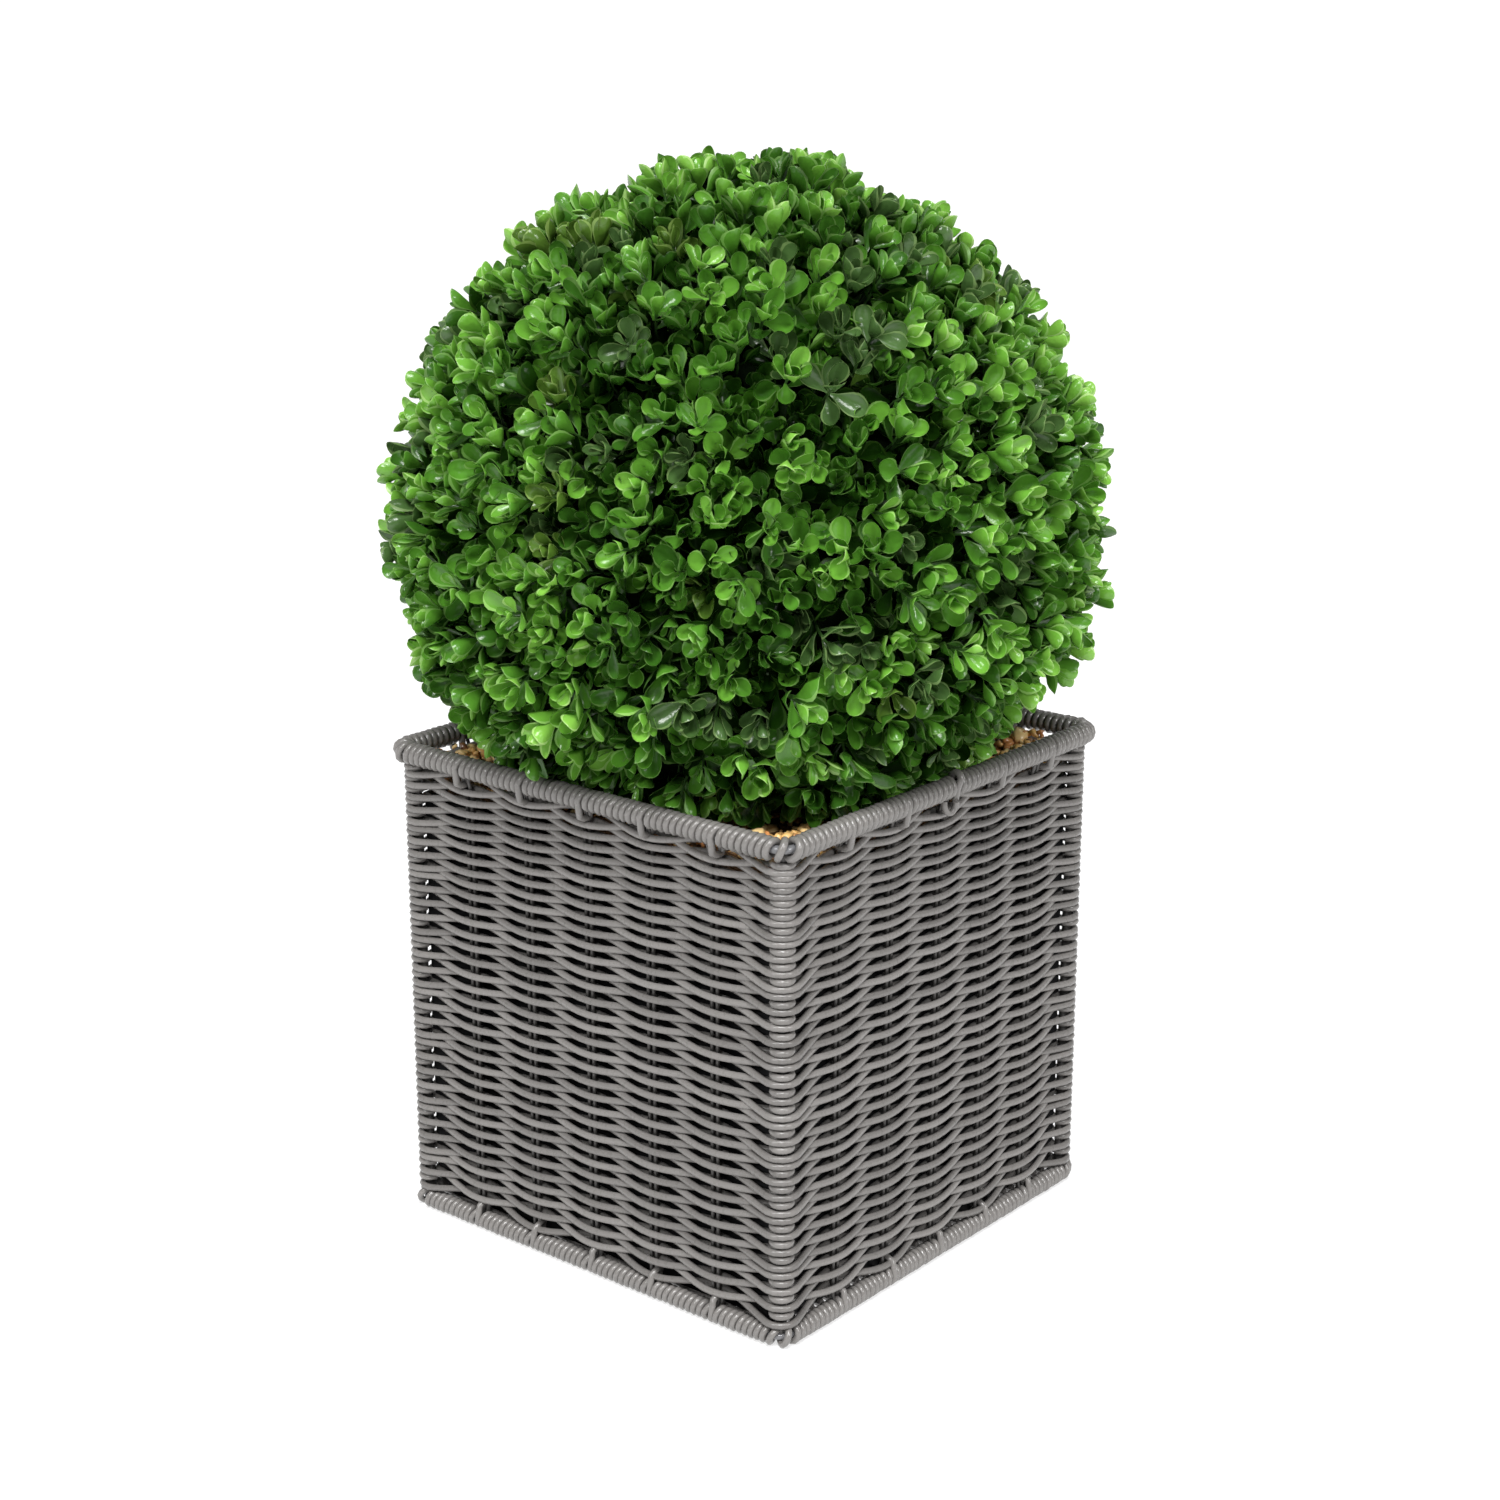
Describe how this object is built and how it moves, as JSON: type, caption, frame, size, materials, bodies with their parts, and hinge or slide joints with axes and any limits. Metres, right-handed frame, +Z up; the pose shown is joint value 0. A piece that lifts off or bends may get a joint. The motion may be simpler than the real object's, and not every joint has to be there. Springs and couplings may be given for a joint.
{
  "type": "artificial box topiary ball in a square woven planter",
  "caption": "Clipped ball of plastic box foliage on a short stem, standing in a square woven cane planter filled with bark chips.",
  "frame": {"origin": "on the ground under the middle of the planter", "axes": "+Z up, X and Y square to the planter's sides; -Y is the front"},
  "size_m": [0.3662, 0.3659, 0.555],
  "materials": {
    "cane": "satin",
    "frame_wire": "satin",
    "liner": "matte",
    "block": "matte",
    "mulch": "satin",
    "stem": "matte",
    "foliage": "satin"
  },
  "bodies": {
    "root": {"top_rim": "cane", "foot_rim": "cane", "woven_wall": "cane", "base_panel": "cane", "liner": "liner", "filling_block": "block", "mulch": "mulch", "stem": "stem", "foliage_ball": "foliage", "corner_post_1": "frame_wire", "corner_post_2": "frame_wire", "corner_post_3": "frame_wire", "corner_post_4": "frame_wire", "upright_front_1": "frame_wire", "upright_front_2": "frame_wire", "upright_front_3": "frame_wire", "upright_front_4": "frame_wire", "upright_front_5": "frame_wire", "upright_right_1": "frame_wire", "upright_right_2": "frame_wire", "upright_right_3": "frame_wire", "upright_right_4": "frame_wire", "upright_right_5": "frame_wire", "upright_back_1": "frame_wire", "upright_back_2": "frame_wire", "upright_back_3": "frame_wire", "upright_back_4": "frame_wire", "upright_back_5": "frame_wire", "upright_left_1": "frame_wire", "upright_left_2": "frame_wire", "upright_left_3": "frame_wire", "upright_left_4": "frame_wire", "upright_left_5": "frame_wire"}
  },
  "joints": []
}
